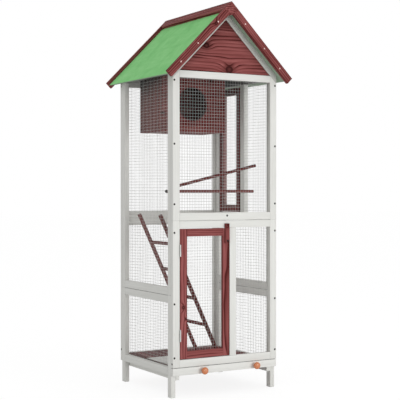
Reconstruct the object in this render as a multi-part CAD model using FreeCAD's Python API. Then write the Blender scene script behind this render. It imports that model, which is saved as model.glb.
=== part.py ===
import FreeCAD, Part
import math
import os

# Wooden bird cage on four short legs, under a pitched felt roof.
# X runs left to right along the gable front, Y from front to back, Z up.
# The origin lies on the ground under the middle of the cage.

# body
body_width = 497.0
body_depth = 477.0
wall_height = 1316.0
frame_width = 31.0
frame_thickness = 15.0
side_thickness = 20.0
side_stile_width = 29.0
mid_seam_height = 711.0
side_seam_height = 411.5
body_bottom = 90.0
drawer_front_height = 31.5
front_gap = 0.5
side_bottom_rail_height = 30.0
side_top_rail_height = 18.0
front_top_rail_width = 28.0
back_top_rail_width = 30.0
gable_thickness = 12.0
gable_setback = 3.0

# wire mesh: three gaps are drawn as one, but for the cells that carry a perch bolt
wire_pitch = 12.7
gaps_per_cell = 3
mesh_bar = 2.5
mesh_thickness = 1.2
mesh_lap = 8.0

# roof
roof_overhang_front = 45.0
roof_slope_length = 421.5
roof_board_thickness = 9.0
felt_thickness = 1.5
ridge_board_width = 47.0
ridge_board_thickness = 13.0
purlin_size = 27.0
barge_width = 31.0
barge_thickness = 15.0
rafter_width = 24.0

# front door and side door
front_opening_width = 235.0
side_opening_width = 181.5
side_opening_height = 563.0
front_door_thickness = 12.5
side_door_thickness = 20.0
door_frame_width = 31.0
hinge_gap = 3.5
door_gap = 2.0
side_door_free_gap = 3.0
side_door_top_gap = 9.5
cross_rail_height = 31.0
divider_width = 31.0

# butt hinges
hinge_height = 47.0
hinge_leaf_thickness = 1.2
hinge_leaf_depth = 10.0
knuckle_radius = 2.8
hinge_pin_radius = 1.4
pin_clearance = 0.05
knuckle_gap = 0.3
pin_head_radius = 2.2
pin_head_height = 0.8
front_hinge_drop = 87.0
front_hinge_rise = 95.0
side_hinge_inset = 90.0

# wooden turn buttons
button_length = 80.0
button_width = 19.0
button_thickness = 10.0
button_gap = 0.3
button_side_inset = 14.0
button_reach = 19.0
pivot_radius = 2.0
pivot_clearance = 0.05
pivot_head_radius = 4.0
pivot_head_height = 2.0
pivot_bite = 8.0

# screws
screw_head_radius = 3.5
screw_head_height = 1.6
screw_shank_radius = 1.6
screw_length = 25.0
short_screw_length = 12.0
screw_edge_inset = 7.0
screw_end_inset = 43.5
screw_upper_rise = 4.5
screw_seam_rise = 66.0
screw_seam_drop = 48.0
screw_middle_drop = 39.0
screw_foot_rise = 40.0
side_screw_rise = 15.5
mid_screw_rise = 18.0
mid_screw_offset = 5.0
leaf_screw_radius = 2.4
leaf_screw_shank = 1.2
leaf_screw_spread = 28.0
barge_screw_depth = 16.5
barge_screw_reach_near = 108.0
barge_screw_reach_middle = 240.0
barge_screw_reach_far = 350.0

# drawer that carries the plank floor
drawer_left_clearance = 12.0
drawer_right_clearance = 3.0
drawer_side_width = 15.0
drawer_back_clearance = 1.5
plank_thickness = 10.0
plank_gap = 0.5
plank_count = 8
slide_gap = 0.3
runner_width = 18.0
runner_height = 20.0
knob_radius = 15.0
knob_neck_radius = 6.5
knob_neck_length = 9.0
knob_head_length = 15.0
knob_edge_radius = 4.5
knob_spacing = 251.0
knob_offset = 16.5
knob_height = 103.0

# pale board on the floor behind the door
board_width = 238.0
board_depth = 263.0
board_thickness = 2.0
board_side_gap = 6.0

# nest box
nest_width = 315.0
nest_offset = 3.0
nest_height = 237.5
nest_depth = 202.0
nest_top_rise = 6.0
nest_wall = 12.0
nest_hole_radius = 72.5
nest_hole_height = 119.5
nest_hole_offset = 6.0

# perches
perch_radius = 6.25
perch_length = 420.0
perch_angle_degrees = 13.1
lower_perch_height = 828.5
upper_perch_height = 843.0
lower_perch_setback = 92.0
upper_perch_setback = 60.0
washer_radius = 6.5
washer_thickness = 1.5
bolt_radius = 2.0
bolt_bite = 10.0
nut_radius = 4.0
nut_height = 4.0

# ladder
ladder_rail_width = 14.0
ladder_rail_depth = 13.0
ladder_rung_size = 11.0
ladder_centre_offset = 15.5
ladder_spacing = 190.0
ladder_wall_height = 728.0
ladder_lean_degrees = 25.1
ladder_foot_gap = 0.4
ladder_rung_count = 4
ladder_first_rung = 144.0
ladder_rung_pitch = 115.5

# derived planes
root_two = math.sqrt(2.0)
half_width = body_width / 2
front_face = -body_depth / 2
back_face = body_depth / 2
front_inner = front_face + frame_thickness
back_inner = back_face - frame_thickness
side_inner = half_width - side_thickness
stile_inner = half_width - frame_width
side_front = front_inner + side_stile_width
side_back = back_inner - side_stile_width
roof_under = (ridge_board_thickness + felt_thickness + roof_board_thickness
              + felt_thickness)
ridge_height = wall_height + half_width + root_two * roof_under
purlin_far = ridge_board_thickness + purlin_size
roof_front = front_face - roof_overhang_front
roof_back = back_face + roof_overhang_front
frame_bottom = body_bottom + drawer_front_height + front_gap
floor_top = body_bottom + drawer_front_height
rafter_under = roof_under + rafter_width
side_rail_bottom = wall_height - side_top_rail_height
mesh_inner = side_inner - mesh_thickness
front_hinge_x = -stile_inner
mullion_left = front_hinge_x + front_opening_width
mullion_right = mullion_left + frame_width
side_opening_bottom = side_rail_bottom - side_opening_height
knuckle_axis = knuckle_radius + knuckle_gap


def box(x0, x1, y0, y1, z0, z1):
    corner = FreeCAD.Vector(min(x0, x1), min(y0, y1), min(z0, z1))
    return Part.makeBox(abs(x1 - x0), abs(y1 - y0), abs(z1 - z0), corner)


def prism(points, y0, y1):
    loop = [FreeCAD.Vector(x, y0, z) for x, z in points]
    face = Part.Face(Part.makePolygon(loop + [loop[0]]))
    return face.extrude(FreeCAD.Vector(0, y1 - y0, 0))


def cylinder(radius, length, start, direction):
    return Part.makeCylinder(radius, length, FreeCAD.Vector(*start),
                             FreeCAD.Vector(*direction))


def slope_point(side, along, depth):
    return (side * (along - depth) / root_two,
            ridge_height - (along + depth) / root_two)


def slope_prism(side, outline, y0, y1):
    return prism([slope_point(side, a, b) for a, b in outline], y0, y1)


def roof_line(x):
    return ridge_height - root_two * roof_under - abs(x)


def rafter_line(x):
    return ridge_height - root_two * rafter_under - abs(x)


end_rail_top = rafter_line(stile_inner)
front_rail_bottom = end_rail_top - front_top_rail_width
back_rail_bottom = end_rail_top - back_top_rail_width


def group(shapes):
    return Part.makeCompound(shapes)


def cut_all(shape, tools):
    for tool in tools:
        if shape.BoundBox.intersect(tool.BoundBox):
            shape = shape.cut(tool)
    return shape


def solids(shape):
    return list(shape.Solids)


def screw(start, direction, length, head=screw_head_radius,
          head_height=screw_head_height, shank=screw_shank_radius):
    base = FreeCAD.Vector(*start)
    way = FreeCAD.Vector(*direction)
    top = Part.makeCone(head, shank, head_height, base, way)
    return top.fuse(Part.makeCylinder(shank, length, base, way)).removeSplitter()


def net(point, normal, opening, bolts=()):
    u0, u1, z0, z1 = opening
    across = max(2, int((u1 - u0) / (wire_pitch * gaps_per_cell)))
    up = max(2, int((z1 - z0) / (wire_pitch * gaps_per_cell)))
    du = (u1 - u0) / across
    dz = (z1 - z0) / up
    half = mesh_bar / 2

    def ring(a0, a1, b0, b1):
        loop = [point(a0, b0), point(a1, b0), point(a1, b1), point(a0, b1)]
        return Part.makePolygon(loop + [loop[0]])

    rings = [ring(u0 - mesh_lap, u1 + mesh_lap, z0 - mesh_lap, z1 + mesh_lap)]
    for i in range(across):
        for j in range(up):
            a = u0 + i * du
            b = z0 + j * dz
            bolted = any(a <= u < a + du and b <= z < b + dz for u, z in bolts)
            parts = gaps_per_cell if bolted else 1
            for k in range(parts * parts):
                c = a + (k % parts) * du / parts
                e = b + (k // parts) * dz / parts
                rings.append(ring(c + half, c + du / parts - half,
                                  e + half, e + dz / parts - half))
    face = Part.makeFace(rings, "Part::FaceMakerBullseye")
    return face.extrude(FreeCAD.Vector(*normal) * mesh_thickness)


def front_net(y, inward, opening):
    def point(u, z):
        return FreeCAD.Vector(u, y, z)
    return net(point, (0, inward, 0), opening)


def side_net(x, inward, opening, bolts=()):
    def point(u, z):
        return FreeCAD.Vector(x, u, z)
    return net(point, (inward, 0, 0), opening, bolts)


# screws that hold the front and back frames to the side frames
def stile_screw_heights():
    return [frame_bottom + screw_foot_rise,
            (frame_bottom + mid_seam_height) / 2 - screw_middle_drop,
            mid_seam_height - screw_seam_drop,
            mid_seam_height + screw_seam_rise,
            (mid_seam_height + wall_height) / 2 + screw_upper_rise,
            wall_height - screw_end_inset]


def make_frame_screws():
    found = []
    for side in (-1, 1):
        x = side * (half_width - screw_edge_inset)
        for z in stile_screw_heights():
            found.append(screw((x, front_face, z), (0, 1, 0), screw_length))
            found.append(screw((x, back_face, z), (0, -1, 0), screw_length))
        for y in (front_face + frame_thickness / 2, back_face - frame_thickness / 2):
            found.append(screw((side * half_width, y, frame_bottom + side_screw_rise),
                               (-side, 0, 0), screw_length))
    z = mid_seam_height + mid_screw_rise
    x = mid_screw_offset
    found.append(screw((x, front_face, z), (0, 1, 0), short_screw_length))
    found.append(screw((x, back_face, z), (0, -1, 0), short_screw_length))
    return found


def make_barge_screws():
    found = []
    for side in (-1, 1):
        for reach in (barge_screw_reach_near, barge_screw_reach_middle,
                      barge_screw_reach_far):
            x, z = slope_point(side, reach, barge_screw_depth)
            found.append(screw((x, roof_front, z), (0, 1, 0), screw_length))
            found.append(screw((x, roof_back, z), (0, -1, 0), screw_length))
    return found


frame_screws = make_frame_screws()
barge_screws = make_barge_screws()


# frames: every stile and rail is a stick of its own
def top_cut_stile(x0, x1, y0, y1, z0):
    outline = [(x0, z0), (x1, z0), (x1, roof_line(x1)), (x0, roof_line(x0))]
    return prism(outline, y0, y1)


def under_rafters(shape):
    outline = [(-half_width, 0), (half_width, 0), (half_width, rafter_line(half_width)),
               (0, rafter_line(0)), (-half_width, rafter_line(half_width))]
    return shape.common(prism(outline, front_face, back_face))


def upper_end_frame(y0, y1, rail_bottom):
    sticks = []
    for side in (-1, 1):
        sticks.append(box(side * stile_inner, side * half_width, y0, y1,
                          mid_seam_height, ridge_height))
    sticks.append(box(-stile_inner, stile_inner, y0, y1,
                      mid_seam_height, mid_seam_height + frame_width))
    sticks.append(box(-stile_inner, stile_inner, y0, y1,
                      rail_bottom, end_rail_top))
    return [cut_all(under_rafters(stick), frame_screws) for stick in sticks]


def front_lower_frame():
    y0, y1 = front_face, front_inner
    sticks = [box(side * stile_inner, side * half_width, y0, y1,
                  frame_bottom, mid_seam_height) for side in (-1, 1)]
    sticks.append(box(-stile_inner, stile_inner, y0, y1,
                      frame_bottom, frame_bottom + frame_width))
    sticks.append(box(-stile_inner, stile_inner, y0, y1,
                      mid_seam_height - frame_width, mid_seam_height))
    sticks.append(box(mullion_left, mullion_right, y0, y1,
                      frame_bottom + frame_width, mid_seam_height - frame_width))
    return [cut_all(stick, frame_screws + hinge_frame_screws) for stick in sticks]


def back_lower_frame():
    y0, y1 = back_inner, back_face
    sticks = [box(side * stile_inner, side * half_width, y0, y1,
                  body_bottom, mid_seam_height) for side in (-1, 1)]
    sticks.append(box(-stile_inner, stile_inner, y0, y1,
                      body_bottom, body_bottom + drawer_front_height))
    sticks.append(box(-stile_inner, stile_inner, y0, y1,
                      mid_seam_height - frame_width, mid_seam_height))
    return [cut_all(stick, frame_screws) for stick in sticks]


def side_sticks(side, y0, y1, z0, z1):
    return box(side * side_inner, side * half_width, y0, y1, z0, z1)


def side_upper_frame(side):
    sticks = []
    for y0, y1 in ((front_inner, side_front), (side_back, back_inner)):
        sticks.append(top_cut_stile(side * side_inner, side * half_width,
                                    y0, y1, side_seam_height))
    sticks.append(side_sticks(side, side_front, side_back,
                              side_seam_height, side_seam_height + frame_width))
    sticks.append(top_cut_stile(side * side_inner, side * half_width,
                                side_front, side_back, side_rail_bottom))
    if side > 0:
        free = side_back - side_opening_width
        sticks.append(side_sticks(side, side_front, side_back,
                                  side_opening_bottom - cross_rail_height,
                                  side_opening_bottom))
        sticks.append(side_sticks(side, free - divider_width, free,
                                  side_opening_bottom, side_rail_bottom))
    return [cut_all(stick, frame_screws + hinge_frame_screws) for stick in sticks]


def side_lower_frame(side):
    sticks = []
    for y0, y1 in ((front_inner, side_front), (side_back, back_inner)):
        sticks.append(side_sticks(side, y0, y1, 0, side_seam_height))
    sticks.append(side_sticks(side, side_front, side_back, body_bottom,
                              body_bottom + side_bottom_rail_height))
    sticks.append(side_sticks(side, side_front, side_back,
                              side_seam_height - frame_width + front_gap,
                              side_seam_height))
    return [cut_all(stick, frame_screws) for stick in sticks]


def gable_board(y0, y1, base):
    reach = rafter_line(0) - base
    return prism([(-reach, base), (reach, base), (0, rafter_line(0))], y0, y1)


# roof
def square_on_slope(side, a0, a1, b0, b1, y0, y1):
    return slope_prism(side, [(a0, b0), (a1, b0), (a1, b1), (a0, b1)], y0, y1)


ridge_purlin = square_on_slope(1, ridge_board_thickness, purlin_far,
                               ridge_board_thickness, purlin_far,
                               roof_front, roof_back)
right_ridge_board = square_on_slope(1, 0, ridge_board_width, 0,
                                    ridge_board_thickness, roof_front, roof_back)
left_ridge_board = square_on_slope(-1, ridge_board_thickness, ridge_board_width, 0,
                                   ridge_board_thickness, roof_front, roof_back)
sheet_front = roof_front + barge_thickness
sheet_back = roof_back - barge_thickness


felt_top = ridge_board_thickness
board_top = felt_top + felt_thickness
board_under = board_top + roof_board_thickness
felt_eave = roof_slope_length + felt_top
board_eave = felt_eave - root_two * felt_thickness


def roof_board(side):
    outline = [(purlin_far, board_top), (board_eave - board_top, board_top),
               (board_eave - board_under, board_under), (purlin_far, board_under)]
    return cut_all(slope_prism(side, outline, sheet_front, sheet_back), barge_screws)


def roof_felt(side):
    outline = [(purlin_far, felt_top), (felt_eave - felt_top, felt_top),
               (felt_eave - roof_under, roof_under), (purlin_far, roof_under),
               (purlin_far, board_under), (board_eave - board_under, board_under),
               (board_eave - board_top, board_top), (purlin_far, board_top)]
    return slope_prism(side, outline, sheet_front, sheet_back)


def barge_board(side, y0, y1):
    board = square_on_slope(side, 0, roof_slope_length, 0, barge_width, y0, y1)
    tools = [ridge_purlin, right_ridge_board, left_ridge_board]
    half = box(0, side * body_width, y0, y1, 0, ridge_height)
    return cut_all(cut_all(board.common(half), tools), barge_screws)


def rafter(side, y0, y1):
    board = square_on_slope(side, 0, roof_slope_length, roof_under, rafter_under,
                            y0, y1)
    half = box(0, side * half_width, y0, y1, 0, ridge_height)
    return board.common(half).cut(ridge_purlin)


# doors: u runs from the hinge edge of the opening, v outward from the frame
def front_place(u, v):
    return (front_hinge_x + u, front_face - v)


def side_place(u, v):
    return (half_width + v, side_back - u)


def placed_box(place, u0, u1, v0, v1, z0, z1):
    xa, ya = place(u0, v0)
    xb, yb = place(u1, v1)
    return box(xa, xb, ya, yb, z0, z1)


def along_u(place):
    xa, ya = place(0, 0)
    xb, yb = place(door_gap, 0)
    return ((xb - xa) / door_gap, (yb - ya) / door_gap, 0)


def knuckle(place, z0, z1):
    x, y = place(hinge_gap / 2, knuckle_axis)
    return cylinder(knuckle_radius, z1 - z0, (x, y, z0), (0, 0, 1))


def hinge_bore(place, middle):
    x, y = place(hinge_gap / 2, knuckle_axis)
    radius = hinge_pin_radius + pin_clearance
    return cylinder(radius, 2 * hinge_height, (x, y, middle - hinge_height), (0, 0, 1))


def hinge_pin(place, middle):
    x, y = place(hinge_gap / 2, knuckle_axis)
    low = middle - hinge_height / 2
    shank = cylinder(hinge_pin_radius, hinge_height, (x, y, low), (0, 0, 1))
    head = cylinder(pin_head_radius, pin_head_height, (x, y, low + hinge_height),
                    (0, 0, 1))
    return shank.fuse(head).removeSplitter()


def leaf_screws(place, middle, u, turn):
    way = along_u(place)
    found = []
    for z in (middle - leaf_screw_spread / 2, middle + leaf_screw_spread / 2):
        x, y = place(u, -hinge_leaf_depth / 2)
        found.append(screw((x, y, z), (way[0] * turn, way[1] * turn, 0),
                           short_screw_length, leaf_screw_radius,
                           hinge_leaf_thickness, leaf_screw_shank))
    return found


def fixed_leaf(place, middle):
    low = middle - hinge_height / 2
    third = hinge_height / 3
    leaf = placed_box(place, 0, hinge_leaf_thickness, -hinge_leaf_depth, 0,
                      low, low + hinge_height)
    for step in (0, 2):
        z0 = low + step * third
        z1 = z0 + third
        leaf = leaf.fuse(knuckle(place, z0, z1))
        leaf = leaf.fuse(placed_box(place, 0, hinge_leaf_thickness, 0,
                                    knuckle_axis, z0, z1))
    leaf = leaf.removeSplitter().cut(hinge_bore(place, middle))
    return cut_all(leaf, leaf_screws(place, middle, hinge_leaf_thickness, -1))


def moving_leaf(place, middle):
    low = middle - hinge_height / 2
    third = hinge_height / 3
    near = hinge_gap - hinge_leaf_thickness
    leaf = placed_box(place, near, hinge_gap, -hinge_leaf_depth, 0,
                      low, low + hinge_height)
    z0 = low + third + knuckle_gap
    z1 = low + 2 * third - knuckle_gap
    leaf = leaf.fuse(knuckle(place, z0, z1))
    leaf = leaf.fuse(placed_box(place, near, hinge_gap, 0, knuckle_axis, z0, z1))
    leaf = leaf.removeSplitter().cut(hinge_bore(place, middle))
    return cut_all(leaf, leaf_screws(place, middle, near, 1))


def pivot_screw(place, u, z):
    x, y = place(u, -pivot_bite)
    xo, yo = place(u, 1 * door_gap)
    reach = pivot_bite + button_gap + button_thickness + button_gap
    way = ((xo - x) / (pivot_bite + door_gap), (yo - y) / (pivot_bite + door_gap), 0)
    shank = cylinder(pivot_radius, reach + pivot_head_height, (x, y, z), way)
    xh, yh = place(u, reach - pivot_bite)
    head = cylinder(pivot_head_radius, pivot_head_height, (xh, yh, z), way)
    return shank.fuse(head).removeSplitter()


def turn_button(place, u, z, tip):
    bar = placed_box(place, u - button_width / 2, u + button_width / 2, button_gap,
                     button_gap + button_thickness, z, tip)
    bar = bar.fuse(placed_box(place, u - button_width / 2, u + button_width / 2,
                              button_gap, button_gap + button_thickness, z,
                              z + math.copysign(button_width / 2, z - tip)))
    bar = bar.removeSplitter()
    x, y = place(u, 0)
    xo, yo = place(u, button_gap + 2 * button_thickness)
    bore = cylinder(pivot_radius + pivot_clearance, button_gap + 2 * button_thickness,
                    (x, y, z), (xo - x, yo - y, 0))
    return bar.cut(bore)


def door_frame(place, edge, thickness, z0, z1, tools):
    u0 = hinge_gap
    u1 = edge
    sticks = [placed_box(place, u0, u0 + door_frame_width, -thickness, 0, z0, z1),
              placed_box(place, u1 - door_frame_width, u1, -thickness, 0, z0, z1)]
    for low in (z0, z1 - door_frame_width):
        sticks.append(placed_box(place, u0 + door_frame_width, u1 - door_frame_width,
                                 -thickness, 0, low, low + door_frame_width))
    return [cut_all(stick, tools) for stick in sticks]


def door_net(place, edge, thickness, z0, z1):
    u0 = hinge_gap + door_frame_width
    u1 = edge - door_frame_width

    def point(u, z):
        x, y = place(u, -thickness)
        return FreeCAD.Vector(x, y, z)

    xa, ya = place(0, -mesh_thickness)
    xb, yb = place(0, 0)
    normal = ((xa - xb) / mesh_thickness, (ya - yb) / mesh_thickness, 0)
    return net(point, normal, (u0, u1, z0 + door_frame_width, z1 - door_frame_width))


front_door_bottom = frame_bottom + frame_width + door_gap
front_door_top = mid_seam_height - frame_width - door_gap
side_door_bottom = side_opening_bottom + door_gap
side_door_top = side_rail_bottom - side_door_top_gap
front_hinges = [front_door_top - front_hinge_drop, front_door_bottom + front_hinge_rise]
side_hinges = [side_door_top - side_hinge_inset, side_door_bottom + side_hinge_inset]
hinge_frame_screws = []
for hinge_height_at in front_hinges:
    hinge_frame_screws += leaf_screws(front_place, hinge_height_at,
                                      hinge_leaf_thickness, -1)
for hinge_height_at in side_hinges:
    hinge_frame_screws += leaf_screws(side_place, hinge_height_at,
                                      hinge_leaf_thickness, -1)


def door_parts(place, edge, thickness, z0, z1, hinges, way):
    near = hinge_gap - hinge_leaf_thickness
    edge_screws = []
    for middle in hinges:
        edge_screws += leaf_screws(place, middle, near, 1)
    u = edge - button_side_inset
    tip = (z1 if way > 0 else z0) + way * button_reach
    z = tip - way * (button_length - button_width / 2)
    pivot = pivot_screw(place, u, z)
    frame = door_frame(place, edge, thickness, z0, z1, edge_screws + [pivot])
    leaves = [moving_leaf(place, middle) for middle in hinges]
    return {"frame": group(frame), "mesh": door_net(place, edge, thickness, z0, z1),
            "leaves": group(leaves), "screws": group(edge_screws + [pivot]),
            "button": turn_button(place, u, z, tip)}


# drawer
def drawer_front():
    board = box(-half_width, half_width, front_face, front_inner,
                body_bottom, floor_top)
    for x in knob_places():
        board = board.cut(cylinder(knob_neck_radius / 2, frame_thickness,
                                   (x, front_face, knob_height), (0, 1, 0)))
    return board


def knob_places():
    return [knob_offset - knob_spacing / 2, knob_offset + knob_spacing / 2]


def drawer_knob(x):
    neck = knob_neck_length
    full = neck + knob_head_length
    head = cylinder(knob_radius, knob_head_length, (x, front_face - neck, knob_height),
                    (0, -1, 0))
    head = head.makeFillet(knob_edge_radius, head.Edges)
    stem = cylinder(knob_neck_radius, neck + knob_edge_radius,
                    (x, front_face, knob_height), (0, -1, 0))
    dowel = cylinder(knob_neck_radius / 2, frame_thickness,
                     (x, front_face, knob_height), (0, 1, 0))
    return head.fuse(stem).fuse(dowel).removeSplitter()


drawer_left = -side_inner + drawer_left_clearance
drawer_right = side_inner - drawer_right_clearance
drawer_back_face = back_inner - drawer_back_clearance
batten_top = floor_top - plank_thickness


def drawer_side(x):
    return box(x, x + drawer_side_width, front_inner, drawer_back_face,
               body_bottom, batten_top)


def drawer_back():
    return box(drawer_left + drawer_side_width, drawer_right - drawer_side_width,
               drawer_back_face - drawer_side_width, drawer_back_face,
               body_bottom, batten_top)


def drawer_planks():
    pitch = (drawer_right - drawer_left + plank_gap) / plank_count
    planks = []
    for i in range(plank_count):
        x = drawer_left + i * pitch
        planks.append(box(x, x + pitch - plank_gap, front_inner, drawer_back_face,
                          batten_top, floor_top))
    return planks


def drawer_runner(side):
    top = body_bottom - slide_gap
    return box(side * (side_inner - runner_width), side * side_inner,
               front_inner, back_inner, top - runner_height, top)


def floor_board():
    left = -mesh_inner + board_side_gap
    low = floor_top + front_gap
    return box(left, left + board_width, front_inner, front_inner + board_depth,
               low, low + board_thickness)


# nest box
nest_left = -nest_offset - nest_width / 2
nest_right = nest_left + nest_width
nest_back = back_inner - mesh_thickness
nest_front = nest_back - nest_depth
nest_top = wall_height + nest_top_rise
nest_bottom = nest_top - nest_height


def nest_front_board():
    board = box(nest_left, nest_right, nest_front, nest_front + nest_wall,
                nest_bottom, nest_top)
    hole = cylinder(nest_hole_radius, nest_wall,
                    (-nest_offset - nest_hole_offset, nest_front,
                     nest_bottom + nest_hole_height),
                    (0, 1, 0))
    return board.cut(hole)


def nest_back_board():
    return box(nest_left, nest_right, nest_back - nest_wall, nest_back,
               nest_bottom, nest_top)


def nest_side(x):
    return box(x, x + nest_wall, nest_front + nest_wall, nest_back - nest_wall,
               nest_bottom, nest_top)


def nest_flat(z0, z1):
    return box(nest_left + nest_wall, nest_right - nest_wall,
               nest_front + nest_wall, nest_back - nest_wall, z0, z1)


# perches
def perch_place(setback, height):
    return (-mesh_inner, front_face + setback, height)


def perch(setback, height, angle):
    x, y, z = perch_place(setback, height)
    turn = math.radians(angle)
    way = (math.cos(turn), 0, math.sin(turn))
    back = 2 * perch_radius
    start = (x - back * way[0], y, z - back * way[2])
    rod = cylinder(perch_radius, perch_length + back, start, way)
    keep = box(x + washer_thickness, half_width, y - back, y + back, 0, ridge_height)
    hole = cylinder(bolt_radius, washer_thickness + bolt_bite, (x, y, z), (1, 0, 0))
    return rod.common(keep).cut(hole)


def perch_fixing(setback, height):
    x, y, z = perch_place(setback, height)
    outside = x - mesh_thickness
    inner = cylinder(washer_radius, washer_thickness, (x, y, z), (1, 0, 0))
    outer = cylinder(washer_radius, washer_thickness, (outside, y, z), (-1, 0, 0))
    shank_start = outside - washer_thickness
    full = washer_thickness + mesh_thickness + washer_thickness + bolt_bite
    shank = cylinder(bolt_radius, full, (shank_start, y, z), (1, 0, 0))
    nut = cylinder(nut_radius, nut_height, (shank_start, y, z), (-1, 0, 0))
    bolt = nut.fuse(shank).removeSplitter()
    return [bolt, inner.cut(shank), outer.cut(shank)]


perch_spots = [(lower_perch_setback, lower_perch_height),
               (upper_perch_setback, upper_perch_height)]


def perch_bores():
    bores = []
    for setback, height in perch_spots:
        x, y, z = perch_place(setback, height)
        bores.append(cylinder(bolt_radius, 2 * mesh_thickness,
                              (x - mesh_thickness, y, z), (1, 0, 0)))
    return bores


# ladder: its square cut rails lean from the floor against the mesh of the left wall
ladder_foot_z = floor_top + ladder_foot_gap
ladder_lean = math.radians(ladder_lean_degrees)
ladder_way = (-math.sin(ladder_lean), math.cos(ladder_lean))
ladder_front = (math.cos(ladder_lean), math.sin(ladder_lean))
ladder_top_x = -mesh_inner + ladder_rail_depth * ladder_front[0]
ladder_rise = ladder_wall_height + ladder_rail_depth * ladder_front[1] - ladder_foot_z
ladder_reach = ladder_rise / ladder_way[1]
ladder_foot_x = ladder_top_x - ladder_reach * ladder_way[0]


def ladder_spot(along, off):
    return (ladder_foot_x + along * ladder_way[0] - off * ladder_front[0],
            ladder_foot_z + along * ladder_way[1] - off * ladder_front[1])


def ladder_bar(a0, a1, o0, o1, y0, y1):
    outline = [ladder_spot(a0, o0), ladder_spot(a1, o0), ladder_spot(a1, o1),
               ladder_spot(a0, o1)]
    return prism(outline, y0, y1)


def ladder_rail(side):
    middle = ladder_centre_offset + side * ladder_spacing / 2
    y0 = middle - ladder_rail_width / 2
    y1 = middle + ladder_rail_width / 2
    bar = ladder_bar(-ladder_rail_depth, ladder_reach, 0, ladder_rail_depth, y0, y1)
    keep = box(-half_width, half_width, y0, y1, ladder_foot_z, ridge_height)
    return bar.common(keep)


def ladder_rung(number):
    height = ladder_first_rung + number * ladder_rung_pitch
    along = height * ladder_reach / ladder_rise
    inner = ladder_spacing / 2 - ladder_rail_width / 2
    off = (ladder_rail_depth - ladder_rung_size) / 2
    return ladder_bar(along - ladder_rung_size / 2, along + ladder_rung_size / 2,
                      off, off + ladder_rung_size, ladder_centre_offset - inner,
                      ladder_centre_offset + inner)


def wall_meshes():
    wide = (-stile_inner, stile_inner)
    deep = (side_front, side_back)
    bolts = [(front_face + setback, height) for setback, height in perch_spots]
    mid_low = mid_seam_height - frame_width
    mid_high = mid_seam_height + frame_width
    side_low = (body_bottom + side_bottom_rail_height,
                side_seam_height - frame_width + front_gap)
    side_high = side_seam_height + frame_width
    free = side_back - side_opening_width - divider_width
    cross = side_opening_bottom - cross_rail_height
    left_upper = side_net(-side_inner, 1, deep + (side_high, side_rail_bottom), bolts)
    return {
        "front_upper_mesh": front_net(front_inner, 1, wide + (mid_high, front_rail_bottom)),
        "front_lower_mesh": front_net(front_inner, 1,
                                      (mullion_right, stile_inner,
                                       frame_bottom + frame_width, mid_low)),
        "back_upper_mesh": front_net(back_inner, -1,
                                     wide + (mid_high, back_rail_bottom)),
        "back_lower_mesh": front_net(back_inner, -1, wide + (floor_top, mid_low)),
        "left_upper_mesh": cut_all(left_upper, perch_bores()),
        "left_lower_mesh": side_net(-side_inner, 1, deep + side_low),
        "right_upper_mesh": side_net(side_inner, -1,
                                     (side_front, free,
                                      side_opening_bottom, side_rail_bottom)),
        "right_middle_mesh": side_net(side_inner, -1, deep + (side_high, cross)),
        "right_lower_mesh": side_net(side_inner, -1, deep + side_low)}


def roof_parts():
    ends = ((roof_front, sheet_front), (sheet_back, roof_back))
    rafter_ends = ((front_face, front_inner), (back_inner, back_face))
    return {
        "left_roof_board": roof_board(-1), "right_roof_board": roof_board(1),
        "left_roof_felt": roof_felt(-1), "right_roof_felt": roof_felt(1),
        "left_ridge_board": left_ridge_board, "right_ridge_board": right_ridge_board,
        "ridge_purlin": ridge_purlin,
        "barge_boards": group([barge_board(side, y0, y1)
                               for y0, y1 in ends for side in (-1, 1)]),
        "rafters": group([rafter(side, y0, y1)
                          for y0, y1 in rafter_ends for side in (-1, 1)])}


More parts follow.
